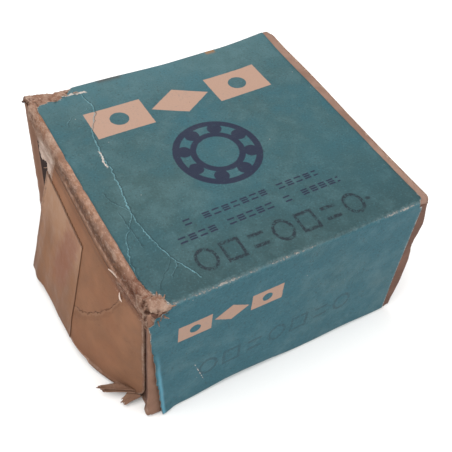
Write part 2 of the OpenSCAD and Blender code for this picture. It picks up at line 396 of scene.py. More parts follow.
def crackLine(f, crack, onTop, patchy):
    half = size["halfWidth"]
    start, end = crack["route"][0][0], crack["route"][-1][0]
    reach = f.inside(f.y - (start + end) / 2, (end - start) / 2, 0.3)
    wander = f.grain(0.8, 4.0, 0.65, shift=17) * 1.3 - 0.65
    off = f.x - f.follow(f.y, crack["route"], -half, half) + wander
    broken = f.ramp(patchy + wander * 0.2, 0.32, 0.55, 0.25, 1.0)
    # the line is a painted highlight along the crack, and the band beside it a painted shadow
    line = f.inside(off, crack["width"], 0.07) * reach * onTop * broken
    shadowLine = f.inside(off - crack["width"] - 0.16, 0.09, 0.1) * reach * onTop
    step = f.ramp(off, -0.15, 0.15) * f.ramp(off, 3.0, 0.15) * reach * onTop * (6 * crack["width"])
    return line, shadowLine, step


def boardFinish(name, light, dark, creased=False, wornAndShaded=False):
    f = Finish(name)
    broad = f.grain(0.07, 3.0, 0.6, shift=5)
    patchy = f.grain(0.35, 4.0, 0.65, shift=21)
    fibre = f.grain(2.4, 4.0, 0.75, (1, 0.35, 1))
    color = f.blend(f.ramp(broad + patchy * 0.5, 0.5, 1.0), light, dark)
    color = f.blend(f.ramp(fibre, 0.42, 0.25, 0, 0.4), color, tuple(c * 0.45 for c in dark))
    color = f.blend(f.ramp(fibre, 0.6, 0.78, 0, 0.35), color, tuple(c * 1.5 for c in light))
    height = fibre * 0.6 + patchy * 0.5
    if wornAndShaded:
        # the worn end's folds are rubbed pale and given painted light, and painted shade darkens the board behind
        # the torn one
        worn = f.ramp(f.x, 0, -1)
        pale = f.ramp(f.y, -27.3, -27.6).most(f.ramp(f.y, 25.1, 25.5)) * worn
        color = f.blend(pale * f.ramp(patchy, 0.3, 0.7, 0.5, 0.75), color, (0.27, 0.15, 0.10))
        # painted shade in the gap behind the torn closure
        gapShade = f.inside(f.y + patchy * 0.6 - 22.4, 3.1, 0.35) * worn
        color = f.blend(gapShade * 0.95, color, (0.018, 0.008, 0.006))
    if creased:
        color, height = wornShadedPanel(f, color, height, patchy, fibre)
    color, height = tornOver(f, color, height, fibre, patchy)
    if creased:
        color, height = creaseDirtAndShade(f, color, height, fibre)
    return f.shade(color, f.ramp(patchy, 0.3, 0.8, 0.82, 0.68), height, 0.14, Specular_IOR_Level=0.12)


def wornShadedPanel(f, color, height, patchy, fibre):
    # the loose panel: one long split with painted shade in it, small wrinkles, painted shade darker towards its
    # foot, and warm stains
    down = size["boardTop"] - f.z
    jag = f.grain(0.9, 4.0, 0.75, (0.2, 1, 1), 31) * 3.6 - 1.8
    route = [(-20.5, 5.5), (-15, 14.5), (-5.5, 23)]
    off = down - f.follow(f.y, route, -26, 26) + jag
    reach = f.inside(f.y + 13, 7.4, 0.5)
    # painted shade in the split
    color = f.blend(f.inside(off, 0.1, 0.14) * reach * 0.9, color, (0.045, 0.02, 0.012))
    color = f.blend(f.inside(off - 0.5, 0.25, 0.3) * reach * 0.4, color, (0.30, 0.17, 0.11))
    height = height + f.ramp(off, -0.1, 0.1) * f.ramp(off, 2.6, 0.1) * reach * 1.6
    # painted shade, darker towards the panel's foot
    color = f.blend(f.ramp(down, 26, 33) * 0.45, color, (0.075, 0.035, 0.022))
    warm = f.ramp(f.grain(0.1, 2.0, 0.5, shift=61), 0.45, 0.65) * 0.4
    pores = f.ramp(fibre, 0.4, 0.28) * f.ramp(patchy, 0.4, 0.6)
    color = f.blend(pores * 0.5, color, (0.08, 0.04, 0.026))
    return f.blend(warm, color, (0.20, 0.085, 0.045)), height


def creaseDirtAndShade(f, color, height, fibre):
    # along the crease: a rubbed rim, a band of smudged dirt, and a broken line of painted shade in the groove below
    # it
    down = size["boardTop"] - f.z
    jag = f.grain(1.1, 4.0, 0.8, (0.3, 1, 0.3), 31) * 1.0 - 0.5
    spotty = f.grain(1.3, 5.0, 0.85, (1, 0.7, 1), 50)
    reddish = f.ramp(f.y + spotty * 6, -11, -17)
    along = f.ramp(f.y, 10.5, 4) * f.ramp(f.y, -25, -19)
    rim = f.inside(down - 0.1 + jag, 0.6, 0.5) * f.ramp(f.y, 13, 9)
    color = f.blend(rim * f.ramp(spotty, 0.4, 0.6, 0.15, 0.6), color, (0.40, 0.265, 0.205))
    mottle = f.ramp(f.grain(0.9, 5.0, 0.8, (1, 0.6, 1), 44), 0.56, 0.44) * f.ramp(down, 4.2, 3.2)
    color = f.blend(mottle * f.ramp(f.y, 12, 9) * 0.55, color, (0.15, 0.078, 0.055))
    smudge = f.inside(down - 1.9 + f.y * 0.03 + jag * 1.6, 0.7, 0.9) * f.ramp(spotty, 0.40, 0.62)
    dirt = f.blend(reddish, (0.105, 0.056, 0.043), (0.16, 0.065, 0.035))
    color = f.blend(smudge * along * 0.7, color, dirt)
    thread = f.ramp(f.grain(2.2, 5.0, 0.85, (1, 0.5, 0.7), 12), 0.55, 0.68)
    color = f.blend(thread * f.inside(down - 1.2 + jag, 2.4, 0.8) * along * 0.75, color, (0.48, 0.35, 0.28))
    pale = f.inside(down - 2.9 + f.y * 0.05 + jag * 0.7, 0.3, 0.35) * f.ramp(spotty, 0.62, 0.42)
    color = f.blend(pale * along * 0.6, color, (0.40, 0.265, 0.20))
    # reddish brown at the near corner, with pale fibres in it
    reddishCorner = f.ramp(f.y - down * 0.7 + jag, -17.5, -22) * f.ramp(down + jag, 8.5, 5)
    color = f.blend(reddishCorner * f.ramp(spotty, 0.36, 0.6) * 0.8, color, (0.17, 0.062, 0.034))
    color = f.blend(reddishCorner * thread * 0.7, color, (0.52, 0.39, 0.32))
    bend = down - 3.75 + f.y * 0.07 + jag * 0.5
    # painted shade in the crease's groove, as a broken line
    broken = f.inside(bend, 0.12, 0.16) * f.ramp(spotty, 0.35, 0.55, 0.3, 1) * f.ramp(f.y, 11.5, 10)
    color = f.blend(broken * 0.85, color, (0.062, 0.028, 0.018))
    burn = f.inside(f.y - 19.5 + jag * 2, 2.4, 1.2) * f.ramp(down + jag, 3.2, 1.2)
    color = f.blend(burn * f.ramp(spotty, 0.4, 0.6) * 0.7, color, (0.25, 0.105, 0.05))
    downy = f.ramp(f.y, 11.2, 12.2) * f.ramp(f.y, 20.5, 17.5) * f.ramp(down + jag * 0.8, 1.2, 3)
    color = f.blend(downy * f.ramp(fibre, 0.35, 0.6, 0.45, 0.85), color, (0.62, 0.49, 0.42))
    # a softer painted shade just below the groove
    color = f.blend(f.inside(bend - 0.8, 0.6, 0.5) * 0.35, color, (0.09, 0.045, 0.03))
    height = height + f.inside(bend, 0.3, 0.3) * -1.8 + f.inside(bend + 0.8, 0.5, 0.4) * 0.9
    return color, height + smudge * spotty * 3.5


def tornOver(f, color, height, fibre, patchy):
    # where the board is rubbed or torn, its pale fibres show, with painted shade in its hollows
    wear = f.mark("wear")
    hollow = f.mark("hollow")
    hair = f.grain(3.0, 5.0, 0.8, (0.6, 0.6, 1.8), 4)
    torn = f.ramp(wear + patchy * 0.7 - 0.35 + fibre * 0.3 - 0.15, 0.25, 0.7)
    ragged = f.blend(f.ramp(patchy, 0.35, 0.65), (0.25, 0.13, 0.085), (0.42, 0.285, 0.215))
    ragged = f.blend(f.ramp(hair, 0.52, 0.68, 0, 0.7), ragged, (0.56, 0.43, 0.36))
    ragged = f.blend(f.ramp(hair, 0.46, 0.34, 0, 0.55), ragged, (0.15, 0.065, 0.04))
    # painted shade in the hollows between the fibres
    ragged = f.blend(f.ramp(hollow + hair * 0.9 - 0.45, 0.15, 0.95, 0, 0.9), ragged, (0.10, 0.04, 0.026))
    return f.blend(torn * 0.92, color, ragged), height + torn * (hair * 2.6 + patchy * 1.2)


def coreFinish(name, low, high):
    f = Finish(name)
    fibre = f.grain(2.4, 4.0, 0.75)
    patchy = f.grain(0.5, 4.0, 0.65, shift=8)
    color, height = tornOver(f, f.blend(patchy, low, high), fibre, fibre, patchy)
    return f.shade(color, 0.85, height, 0.2, Specular_IOR_Level=0.12)


def filmFinish():
    f = Finish("agedFilmTape")
    broad = f.grain(0.09, 3.0, 0.6, (1, 1.2, 0.7), 2)
    fibre = f.grain(2.0, 4.0, 0.7, (1, 0.7, 1), 6)
    patchy = f.grain(0.4, 4.0, 0.6, shift=15)
    color = f.blend(f.ramp(broad + patchy * 0.4, 0.55, 0.9), (0.225, 0.105, 0.05), (0.17, 0.078, 0.038))
    color = f.blend(f.ramp(f.z + patchy * 6, 17, 29) * 0.7, color, (0.33, 0.19, 0.115))
    edge = f.grain(0.5, 3.0, 0.6, shift=70) * 5 - 2.5
    blot = f.inside(f.y - 0.6 + (f.z - 18) * 0.22 + edge, 3.0, 1.6) * f.inside(f.z - 17, 8.0, 4.0)
    color = f.blend(blot * f.ramp(fibre, 0.3, 0.6, 0.6, 0.85), color, (0.185, 0.068, 0.036))
    # painted shade, darker towards the foot of the tape
    color = f.blend(f.ramp(f.z, 9, 3) * 0.35, color, (0.11, 0.05, 0.03))
    color = f.blend(f.ramp(fibre, 0.6, 0.8, 0, 0.25), color, (0.36, 0.235, 0.16))
    wear = f.mark("wear")
    jag = f.grain(1.4, 3.0, 0.8, shift=14)
    color = f.blend(f.ramp(wear + jag * 1.1 - 0.55, 0.3, 0.75) * 0.75, color, (0.085, 0.038, 0.022))
    ripple = f.grain(0.2, 2.0, 0.5, (1, 1.5, 0.6), 33)
    return f.shade(color, f.ramp(patchy, 0.3, 0.8, 0.56, 0.42), patchy + fibre * 0.2 + ripple * 3, 0.12,
                   Specular_IOR_Level=0.12)


def steelFinish(name, tone, polish, lathed=True):
    f = Finish(name)
    far = (f.x * f.x + f.y * f.y).root()
    cloud = f.grain(0.2, 3.0, 0.6, shift=4)
    if lathed:
        turned = f.node("TexNoise", {"noise_dimensions": "1D"}, {"W": far * 6 + f.z * 5, "Detail": 3.0})
    else:
        turned = f.grain(1.5, 3.0, 0.6)
    film = f.ramp(cloud, 0.5, 0.75, 0, 0.35)
    color = f.blend(film, tone, tuple(t * s for t, s in zip(tone, (0.72, 0.62, 0.45))))
    roughness = f.ramp(turned + cloud * 0.3, 0.3, 0.9, polish, polish + 0.14)
    return f.shade(color, roughness, turned, 0.012, Metallic=1.0)


boardOuter = boardFinish("bareBoard", (0.28, 0.178, 0.138), (0.185, 0.108, 0.08))
boardInner = boardFinish("bareBoardFlap", (0.21, 0.12, 0.08), (0.125, 0.066, 0.043))
dustBoard = boardFinish("foldedDustBoard", (0.17, 0.09, 0.064), (0.085, 0.042, 0.031), wornAndShaded=True)
closureBoard = boardFinish("closureBoard", (0.25, 0.122, 0.068), (0.18, 0.087, 0.048), True)
printedPaper = printFinish()
tornCore = coreFinish("tornBoardCore", (0.24, 0.13, 0.085), (0.36, 0.23, 0.17))
paleCore = coreFinish("paleBoardFibre", (0.60, 0.46, 0.38), (0.78, 0.64, 0.56))
filmTape = filmFinish()
washerSteel = steelFinish("groundWasherSteel", (0.60, 0.60, 0.59), 0.2)
cageSteel = steelFinish("pressedCageSteel", (0.50, 0.50, 0.49), 0.32)
ballSteel = steelFinish("polishedBallSteel", (0.78, 0.78, 0.79), 0.06, False)
print("finishes made")


def section(share, skin):
    # a spot on the carton's outline seen from its end, going round from the middle of the bottom
    corner = sleeve["corner"]
    turn = corner * math.pi / 2
    flat, tall = size["halfWidth"] - corner, size["height"] - 2 * corner
    sides = [flat, tall, 2 * flat, tall, flat]
    left = share * (sum(sides) + 4 * turn)
    y = z = heading = 0.0
    for side in sides:
        step = min(left, side)
        y, z = y + step * math.cos(heading), z + step * math.sin(heading)
        left -= step
        if left <= 0:
            break
        swing = min(left, turn) / corner
        y += corner * (math.sin(heading + swing) - math.sin(heading))
        z += corner * (math.cos(heading) - math.cos(heading + swing))
        heading += swing
        left -= turn
        if left <= 0:
            break
    return y + skin * math.sin(heading), z - skin * math.cos(heading)


def lidDip(x, y):
    return level(sleeve["sag"], x) * ease(0, 27, y)


def weathered(x, y, z):
    # the sag of the lid towards the back, the raised front hem and small waves
    dip = lidDip(x, y) * ease(12, 33, z)
    rise = (sleeve["hem"] * hump(x + 7, 13) + 0.45 * hump(x - 17, 9)) * ease(-27.3, -28.3, y) * ease(8, 1, z)
    perk = 0.4 * ease(16, 27, x) * ease(20, 28, y) * ease(20, 33, z)
    wave = 0.16 * rough(x * 0.09, y * 0.09, z * 0.09)
    outY = wave * ease(20, 28, abs(y)) * (1 if y > 0 else -1)
    outZ = wave * ease(26, 33, z)
    return Vector((x, y + outY, z - dip + rise + perk + outZ))


def roughen(shape, mask, depth, cuts):
    # divides the masked faces finely and raises fibres on them; hollows are noted for painted shade in the finish
    worn, hollow = shape.verts.layers.float["wear"], shape.verts.layers.float["hollow"]
    edges = [edge for edge in shape.edges if mask(*((edge.verts[0].co + edge.verts[1].co) / 2)) > 0.02]
    bmesh.ops.subdivide_edges(shape, edges=edges, cuts=cuts, use_grid_fill=True)
    shape.normal_update()
    for vert in shape.verts:
        share = mask(*vert.co)
        if share > 0:
            x, y, z = vert.co
            lift = 0.9 * rough(x * 0.7, y * 0.7, z * 0.7, 3) + 0.6 * rough(x * 2.1, y * 2.1, z * 2.1, 5)
            lift += 0.35 * rough(x * 5, y * 5, z * 5, 6)
            vert.co += vert.normal * (share * depth * lift)
            vert[worn] = max(vert[worn], share)
            vert[hollow] = max(vert[hollow], share * max(0.0, -1.6 * lift))


def flatSheet(name, columns, rows, place, thickness, finishes, torn=None, flip=False, closed=False, wear=None,
              tornWear=0.8, fray=None):
    # a grid laid out by place(across, along), cut where torn() is above zero, then given its thickness
    shape = bmesh.new()
    worn = shape.verts.layers.float.new("wear")
    shape.verts.layers.float.new("hollow")
    bmesh.ops.create_grid(shape, x_segments=columns, y_segments=rows, size=0.5)
    flat = {vert: (vert.co.x + 0.5, vert.co.y + 0.5) for vert in shape.verts}
    for vert, (across, along) in flat.items():
        vert.co = Vector(place(across, along))
        if wear:
            vert[worn] = wear(*vert.co)
    if closed:
        bmesh.ops.remove_doubles(shape, verts=shape.verts, dist=0.01)
    if torn:
        gone = [face for face in shape.faces if torn(*face.calc_center_median()) > 0]
        bmesh.ops.delete(shape, geom=gone, context="FACES")
        for vert in [vert for vert in shape.verts if vert.is_boundary]:
            pull = torn(*vert.co)
            if abs(pull) < 1.2:
                nudge = 0.05
                slope = Vector(((torn(vert.co.x + nudge, vert.co.y, vert.co.z) - pull) / nudge,
                                (torn(vert.co.x, vert.co.y + nudge, vert.co.z) - pull) / nudge,
                                (torn(vert.co.x, vert.co.y, vert.co.z + nudge) - pull) / nudge))
                if slope.length > 0.2:
                    amount = tornWear(*vert.co) if callable(tornWear) else tornWear
                    vert.co -= slope * (pull / slope.length_squared) * 0.9
                    vert[worn] = max(vert[worn], amount)
    if flip:
        bmesh.ops.reverse_faces(shape, faces=shape.faces)
    if fray:
        roughen(shape, *fray)
    return finished(name, shape, finishes, thickness)


def finished(name, shape, finishes, thickness=0.0):
    for vert in shape.verts:
        vert.co *= mm
    for face in shape.faces:
        face.smooth = True
    mesh = bpy.data.meshes.new(name)
    shape.to_mesh(mesh)
    shape.free()
    for finish in finishes:
        mesh.materials.append(finish)
    piece = bpy.data.objects.new(name, mesh)
    bpy.context.scene.collection.objects.link(piece)
    if thickness:
        skin = piece.modifiers.new("thickness", "SOLIDIFY")
        skin.thickness = thickness * mm
        skin.offset = -1
        skin.use_even_offset = False
        skin.material_offset_rim = len(finishes) - 1
    return piece


sleeve = {
    "corner": 0.75,
    "sag": [(-28.5, -1), (-22, 0.3), (-10, 0.6), (3, 1), (16, 0.8), (27, 0)],
    "hem": 1.4,
    "stepAlong": 0.55,
    "stepRound": 0.55,
    "hiddenLap": 1.5,     # how far the end flaps' board runs in under the facing
    "tearPoint": (24.1, 28.25),           # the torn corner's inner point, as distances left and forward
    "tearAlong": (-0.91, -0.415),         # ways across its two edges
    "tearBeside": (-0.666, 0.745),
    "patchStart": -17.2,                  # right end of the bare strip at the back
    "patchDrop": 31.5,                    # how far round the back corner it reaches
}
roundSteps = int((4 * size["halfWidth"] + 2 * size["height"]) / sleeve["stepRound"])
alongSteps = int(2 * size["halfLength"] / sleeve["stepAlong"])


def unrolled(y, z):
    # distance round the lid's back or front corner, as if the side were folded flat with the lid
    if z > size["height"] - 1.2:
        return y
    return math.copysign(size["halfWidth"] + size["height"] - z, y)


def cornered(first, second, radius):
    # the larger of two edges, with the corner between them rounded
    if first < -radius or second < -radius:
        return max(first, second)
    return math.hypot(first + radius, second + radius) - radius


def backSplit(x):
    # how far back the facing still reaches beside the bare back corner
    return level([(-26.5, 24), (-21.5, 25), (-18.5, 27), (-17, 29)], x)


def frontEnd(z):
    return level([(0, -25.5), (11, -26.5), (31, -28)], z)


def facingTear(x, y, z):
    fray = 0.45 * rough(x * 0.9, y * 0.9, z * 0.9, 1) + 0.25 * rough(x * 2.6, y * 2.6, z * 2.6, 2)
    around = unrolled(y, z)
    leftEnd = -size["printEnd"] + 0.1 * rough(y * 0.5, z * 0.5, 0, 4)
    if y < -size["boardSide"] + 0.5:
        leftEnd = frontEnd(z) + 0.3 * rough(z * 0.45, 3) + 0.22 * rough(z * 1.7, 5)
    slant = -0.25 * hump(z - 15, 15) if abs(y) > size["boardSide"] - 0.5 else 0
    rightEnd = size["printEnd"] + slant + 0.08 * rough(y * 0.4, z * 0.4, 0, 6)
    end = max(leftEnd - x, x - rightEnd)
    if z > 20:
        if y > 0:
            patch = min(around - backSplit(x), sleeve["patchStart"] - x, sleeve["patchDrop"] - around)
            end = cornered(end, patch + fray, 1.3)
        beyond = [x + sleeve["tearPoint"][0], around + sleeve["tearPoint"][1]]
        upper, lower = (beyond[0] * way[0] + beyond[1] * way[1]
                        for way in (sleeve["tearAlong"], sleeve["tearBeside"]))
        farNick = (1 - math.hypot((x - 26.9) / 1.3, (around + 28.3) / 0.7)) * 0.7 + fray * 0.3
        end = max(end, min(upper, lower) + fray * 1.2, farNick)
    return end


def facingWear(x, y, z):
    around = unrolled(y, z)
    if z > 25 and (around > 22 and x < -16 or around < -24 and x < -22 or x > 24.5 and around < -26):
        return 0.5
    return (0.35 if x < 0 else 0.5) if y < -size["boardSide"] + 0.5 else 0.0


def boardTear(x, y, z):
    fray = 0.3 * rough(x * 0.8, y * 0.8, z * 0.8, 7)
    lap = size["halfLength"] - sleeve["hiddenLap"]
    if abs(y) > size["boardSide"] - 0.7 and 0.8 < z < size["boardTop"] - 0.8:
        return abs(x) - size["dustFace"] + sleeve["hiddenLap"]
    if z > size["height"] / 2:
        folded = abs(y) < size["closureSide"]
        left = -x - (lap if folded else size["halfLength"] - 0.25 + fray)
        return max(left, x - size["halfLength"] - 0.8 * soundBow(y))
    folded = abs(y) < size["closureSide"]
    return max(-x - size["halfLength"] + 0.15 - fray * 0.4, x - (lap if folded else size["halfLength"] - 0.1))


def soundBow(y):
    # how far the tucked end stands out along the lid
    return (0.75 + 0.6 * hump(y - 13, 24)) * ease(28.6, 25.5, y) * ease(-28.8, -27, y)


def facingPlace(across, along):
    low, high = -size["halfLength"] - 0.5, size["halfLength"]
    x = low + (high - low) * along
    y, z = section(across, 0.0)
    spot = weathered(x, y, z)
    if y < -size["boardSide"]:
        inward = x - frontEnd(z)
        lift = 0.6 * ease(2.6, 0, inward) * ease(0, 3, z) * ease(27, 16, z) * (0.75 + 0.8 * rough(z * 0.3, 9))
        flare = 0.7 * ease(3.5, 0, inward) * ease(3.5, 0, z)
        spot.y -= max(0.0, lift) + flare
    return spot


def boardPlace(across, along):
    x = -size["halfLength"] + (2 * size["halfLength"] + 0.9) * along
    y, z = section(across, -size["paper"])
    return weathered(x, y, z)


def boardWear(x, y, z):
    corner = hump(x + 26, 10) * ease(22, 25, y) * ease(28, 32, z)
    return max(corner, ease(26.9, 27.4, -x) * 0.7, ease(27.6, 28.2, x) * 0.4)


def boardFray(x, y, z):
    # the bare corners of the lid
    front = ease(4.6, 2.6, math.dist((x, y, z), (-27.3, -28.0, 32.8)))
    back = ease(-24.2, -25.4, x) * ease(22.5, 24.5, y) * ease(29, 31, z)
    strip = ease(backSplit(x) - 1.5, backSplit(x), y) * ease(-16.5, -18, x) * ease(29, 31, z) * 0.7
    return max(front, back, strip)


facing = flatSheet("printedFacing", roundSteps, alongSteps, facingPlace, size["paper"],
                   [printedPaper, tornCore], facingTear, closed=True, tornWear=facingWear)
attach(facing, "sleeve")
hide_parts("top_print_ply", "front_print_ply", "bottom_print_ply", "back_print_ply")

sleeveBoard = flatSheet("sleeveBoard", roundSteps, alongSteps, boardPlace, size["board"],
                        [boardOuter, tornCore], boardTear, closed=True, wear=boardWear,
                        fray=(boardFray, 0.3, 3))
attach(sleeveBoard, "sleeve")
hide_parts("top_wall", "front_wall", "bottom_wall", "back_wall")
print("sleeve made")


closure = {
    "step": 0.5,
    "columns": 102,
    "foldRadius": 0.7,
    "bulgeRun": 19.0,
    "cornerRadius": 4.0,
    "softFold": 10.0,
    "tongueFold": 0.6,
    "tongueReach": 8.0,
    "stub": [(13.5, 4.5), (17.5, 5), (20.5, 2.5), (25.5, 1.5)],   # length left by the tear
}
foldArc = closure["foldRadius"] * math.pi / 2
foldStart = size["halfLength"] - sleeve["hiddenLap"]
flatRun = size["halfLength"] - closure["foldRadius"] - foldStart


def bulgeAt(y):
    share = min(1, max(0, (y + size["closureSide"]) / closure["bulgeRun"]))
    return size["bulge"] * math.sin(math.pi / 2 * share)


def panelSpot(y, down, out=0.0):
    # a spot on the loose panel's outside, a length down from its crease
    share = down / size["closureLength"]
    bulge = bulgeAt(y)
    fall = math.sqrt(size["closureLength"] ** 2 - bulge ** 2) * share
    soft = 0.45 * hump(y - closure["softFold"], 3) * share + 0.22 * rough(y * 0.16, down * 0.16, 0, 3)
    perk = lidDip(-size["halfLength"], y) * ease(9, 0, down)
    left = -size["halfLength"] - bulge * share - out - soft * share
    return Vector((left, y, size["boardTop"] - fall - perk))


def closureSpot(y, run):
    radius = closure["foldRadius"]
    if run < flatRun:
        return Vector((-foldStart - run, y, size["boardTop"] - lidDip(-foldStart - run, y)))
    top = size["boardTop"] - lidDip(-size["halfLength"], y)
    if run < flatRun + foldArc:
        angle = (run - flatRun) / radius
        left = -foldStart - flatRun - radius * math.sin(angle)
        return Vector((left, y, top - radius + radius * math.cos(angle)))
    return panelSpot(y, run - flatRun - foldArc + radius)


closureRun = flatRun + foldArc + size["closureLength"] - closure["foldRadius"]
tongueY = (size["tongueLow"].y, size["tongueHigh"].y)


def closurePlace(across, along):
    y = -size["closureSide"] - 0.6 + (2 * size["closureSide"] + 1.2) * across
    return closureSpot(y, closureRun * along)


def closureTear(x, y, z):
    down = size["boardTop"] - z
    fray = 0.35 * rough(down * 0.35, y * 0.2, 0, 11) + 0.2 * rough(down * 1.3, y, 0, 12)
    near = -size["closureSide"] - y + 0.1 * rough(down, 1)
    far = y - size["tornSide"] - fray
    stub = down - level(closure["stub"], y) - fray * 1.6 - 0.5 * rough(y * 1.4, 2)
    edge = max(near, min(far, stub), y - size["closureSide"])
    if tongueY[0] < y < tongueY[1]:
        edge = max(edge, size["tongueLow"].z + 0.55 - z)
    inset = closure["cornerRadius"]
    low = size["boardTop"] - size["closureLength"] * 0.985
    if y < -size["closureSide"] + inset and z < low + inset:
        edge = max(edge, math.hypot(y + size["closureSide"] - inset, z - low - inset) - inset)
    return edge


def closureWear(x, y, z):
    return max(ease(-24.4, -25.2, y) * 0.8, ease(3.4, 1.6, z) * 0.5, ease(10, 11.5, y) * 0.85)


def closureFray(x, y, z):
    # the crease is rubbed, most of all at the near corner and beside the tear
    down = size["boardTop"] - z
    crease = 0.5 * ease(2.4, 1.2, down + 0.8 * rough(y * 0.6, down, 0, 8)) * ease(-27.2, -27.6, x)
    corner = ease(-18, -23, y - down * 0.8) * ease(7.5, 4, down)
    beside = 0.5 * ease(9.5, 12, y) * ease(10, 7, down) * ease(-27.0, -27.5, x)
    return max(crease, corner, beside)


leftClosure = flatSheet("leftClosureBoard", closure["columns"], int(closureRun / closure["step"]),
                        closurePlace, size["board"] - 0.05, [closureBoard, tornCore], closureTear,
                        wear=closureWear, fray=(closureFray, 0.3, 2))
leftCrease = [Vector((-foldStart - 0.6, 0, size["boardTop"])) * mm,
              Vector((-size["halfLength"], 0, size["boardTop"] - 1.0)) * mm]
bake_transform(leftClosure, "sleeve", "left_closure", leftCrease[0], leftCrease[1])
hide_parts("left_closure_panel")


def tonguePath(y):
    root = panelSpot(y, size["closureLength"])
    low = size["tongueLow"].z
    fold = closure["tongueFold"]
    return [(root.x + 0.02, low + fold), (root.x + 0.2, low + 0.2), (root.x + fold, low),
            (-size["halfLength"] - size["bulge"] + closure["tongueReach"], low)]


def tonguePlace(across, along):
    y = tongueY[0] + (tongueY[1] - tongueY[0]) * across
    path = tonguePath(y)
    total = pathLength(path)
    x, z = alongPath(path, total * along)
    draw = 1 - 0.1 * ease(0.15, 1, along)
    return x, (y - sum(tongueY) / 2) * draw + sum(tongueY) / 2, z


leftTongue = flatSheet("leftTongueBoard", 48, 20, tonguePlace, size["board"] - 0.1, [boardInner, tornCore])
tongueX = -size["halfLength"] - size["bulge"]
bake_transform(leftTongue, "left_closure", "left_tongue", Vector((tongueX + 0.1, 0, size["tongueLow"].z + 0.6)) * mm,
         Vector((tongueX + 1.0, 0, size["tongueLow"].z)) * mm)
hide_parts("left_tuck_tongue")

tape = {
    "lift": 0.05,
    "thickness": 0.1,
    "start": 6.4,         # length down from the crease, at the next value's place along the carton
    "startAt": 10.2,
    "slant": 0.133,
    "end": 32.2,
    "edge": -4.7,
    "lean": 2.6,
    "teeth": 0.85,
    "toothDepth": 0.45,
}


def tapePlace(across, along):
    top = tape["edge"] + (size["tornSide"] - 0.1 - tape["edge"]) * across
    start = tape["start"] + (tape["startAt"] - top) * tape["slant"]
    down = start + (tape["end"] - start) * along
    y = top - tape["lean"] * (down - start) / size["closureLength"] * (1 - across)
    tooth = abs((y / tape["teeth"]) % 1 - 0.5) * 2 * tape["toothDepth"]
    return panelSpot(y, down + tooth * ease(0.05, 0, along), tape["lift"] + tape["thickness"])


def tapeWear(x, y, z):
    down = (size["boardTop"] - z) * 1.025
    start = tape["start"] + (tape["startAt"] - y) * tape["slant"]
    edge = tape["edge"] - tape["lean"] * (down - start) / size["closureLength"]
    torn = ease(2.5, 0.5, size["tornSide"] - y) * 0.5
    return max(ease(0.45, 0.0, y - edge) * 0.8, ease(1.2, 0.35, down - start), torn)


filmPiece = flatSheet("filmTape", 90, 60, tapePlace, tape["thickness"], [filmTape, filmTape], wear=tapeWear)
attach(filmPiece, "left_closure")
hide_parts("sealing_tape")
print("worn end made")


dust = {
    "step": 0.45,
    "length": 19.0,       # about how long the board is, from under the wall to its free edge
    "reach": 16.0,        # how far in from the wall the free edge lies
    "relief": 0.25,
    "taper": 1.0,
    # the bowed fold as (share of how far it stands out, distance in from the wall)
    "bow": [(0.85, 0.04), (0.97, 0.2), (1, 0.5), (0.95, 1.4), (0.3, 1.85)],
    "proudLeft": [(0, 1.5), (8, 1), (33, 1)],
    "proudRight": [(0, 1.5), (9, 2.5), (15, 2.5), (20.5, 1.5), (26, 2.5), (33, 1)],
    "sink": 0.2,          # how far the worn end's back flap has gone in, per length
}


def dustPath(proud, sink):
    face, side = size["dustFace"], size["boardSide"]
    bow = [(face + proud * share, side - inward) for share, inward in dust["bow"]]
    return [(face - sleeve["hiddenLap"], side), (face, side), *bow, (face - 0.1, side - 2.3),
            (face, side - 2.95), (face - 13 * sink, side - dust["reach"])]


def dustFlap(name, node, body, end, side):
    low, high = cadBox(node)
    total = dust["length"]
    swell = dust["proudLeft"] if end < 0 else dust["proudRight"]

    def place(across, along):
        height = low.z + (high.z - low.z) * across
        proud = level(swell, height) * (1 if side < 0 else 0.7) + 0.12 * rough(height * 0.5, end, side)
        path = dustPath(proud, dust["sink"] if end < 0 < side else 0)
        x, y = alongPath(path, pathLength(path) * along)
        reach = max(0.0, size["boardSide"] - y) * ease(1.0, 4.0, total * along)
        tuck, crease = dust["relief"] * reach, dust["taper"] * reach
        base = low.z + (tuck if end < 0 else crease)
        top = high.z - (crease if end < 0 else tuck)
        return end * x, side * y, base + (top - base) * across

    flap = flatSheet(name, 60, int(total / dust["step"]), place, size["board"] - 0.05, [dustBoard, tornCore],
                     flip=end * side < 0, wear=lambda x, y, z: ease(27.3, 28.4, -x) * 0.45)
    start = Vector((end * (size["dustFace"] - 0.4), side * size["boardSide"], 0)) * mm
    stop = Vector((end * size["dustFace"], side * (size["boardSide"] - 1.2), 0)) * mm
    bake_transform(flap, "sleeve", body, start, stop)
    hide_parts(node)


for endName, end in (("left", -1), ("right", 1)):
    for sideName, side in (("front", -1), ("back", 1)):
        dustFlap(endName + sideName.capitalize() + "DustBoard", f"{endName}_{sideName}_dust_flap",
                 f"{endName}_{sideName}_dust", end, side)


def soundPath():
    end, radius = size["halfLength"], 0.6
    top = size["closureLength"] + size["paper"]
    return [(foldStart, size["paper"]), (end - radius, size["paper"]), (end - 0.18, size["paper"] + 0.18),
            (end, size["paper"] + radius), (end, top - 0.5), (end - 0.15, top - 0.12)]


def soundPlace(across, along):
    path = soundPath()
    total = pathLength(path)
    x, z = alongPath(path, total * along)
    y = size["closureSide"] * (2 * across - 1)
    bow = 0.5 * hump(y, 26) * hump(z - 17, 17) + 0.12 * rough(y * 0.15, z * 0.15, 0, 14)
    return x + bow * ease(2, 6, z) + soundBow(y) * ease(14, 31, z), y, z


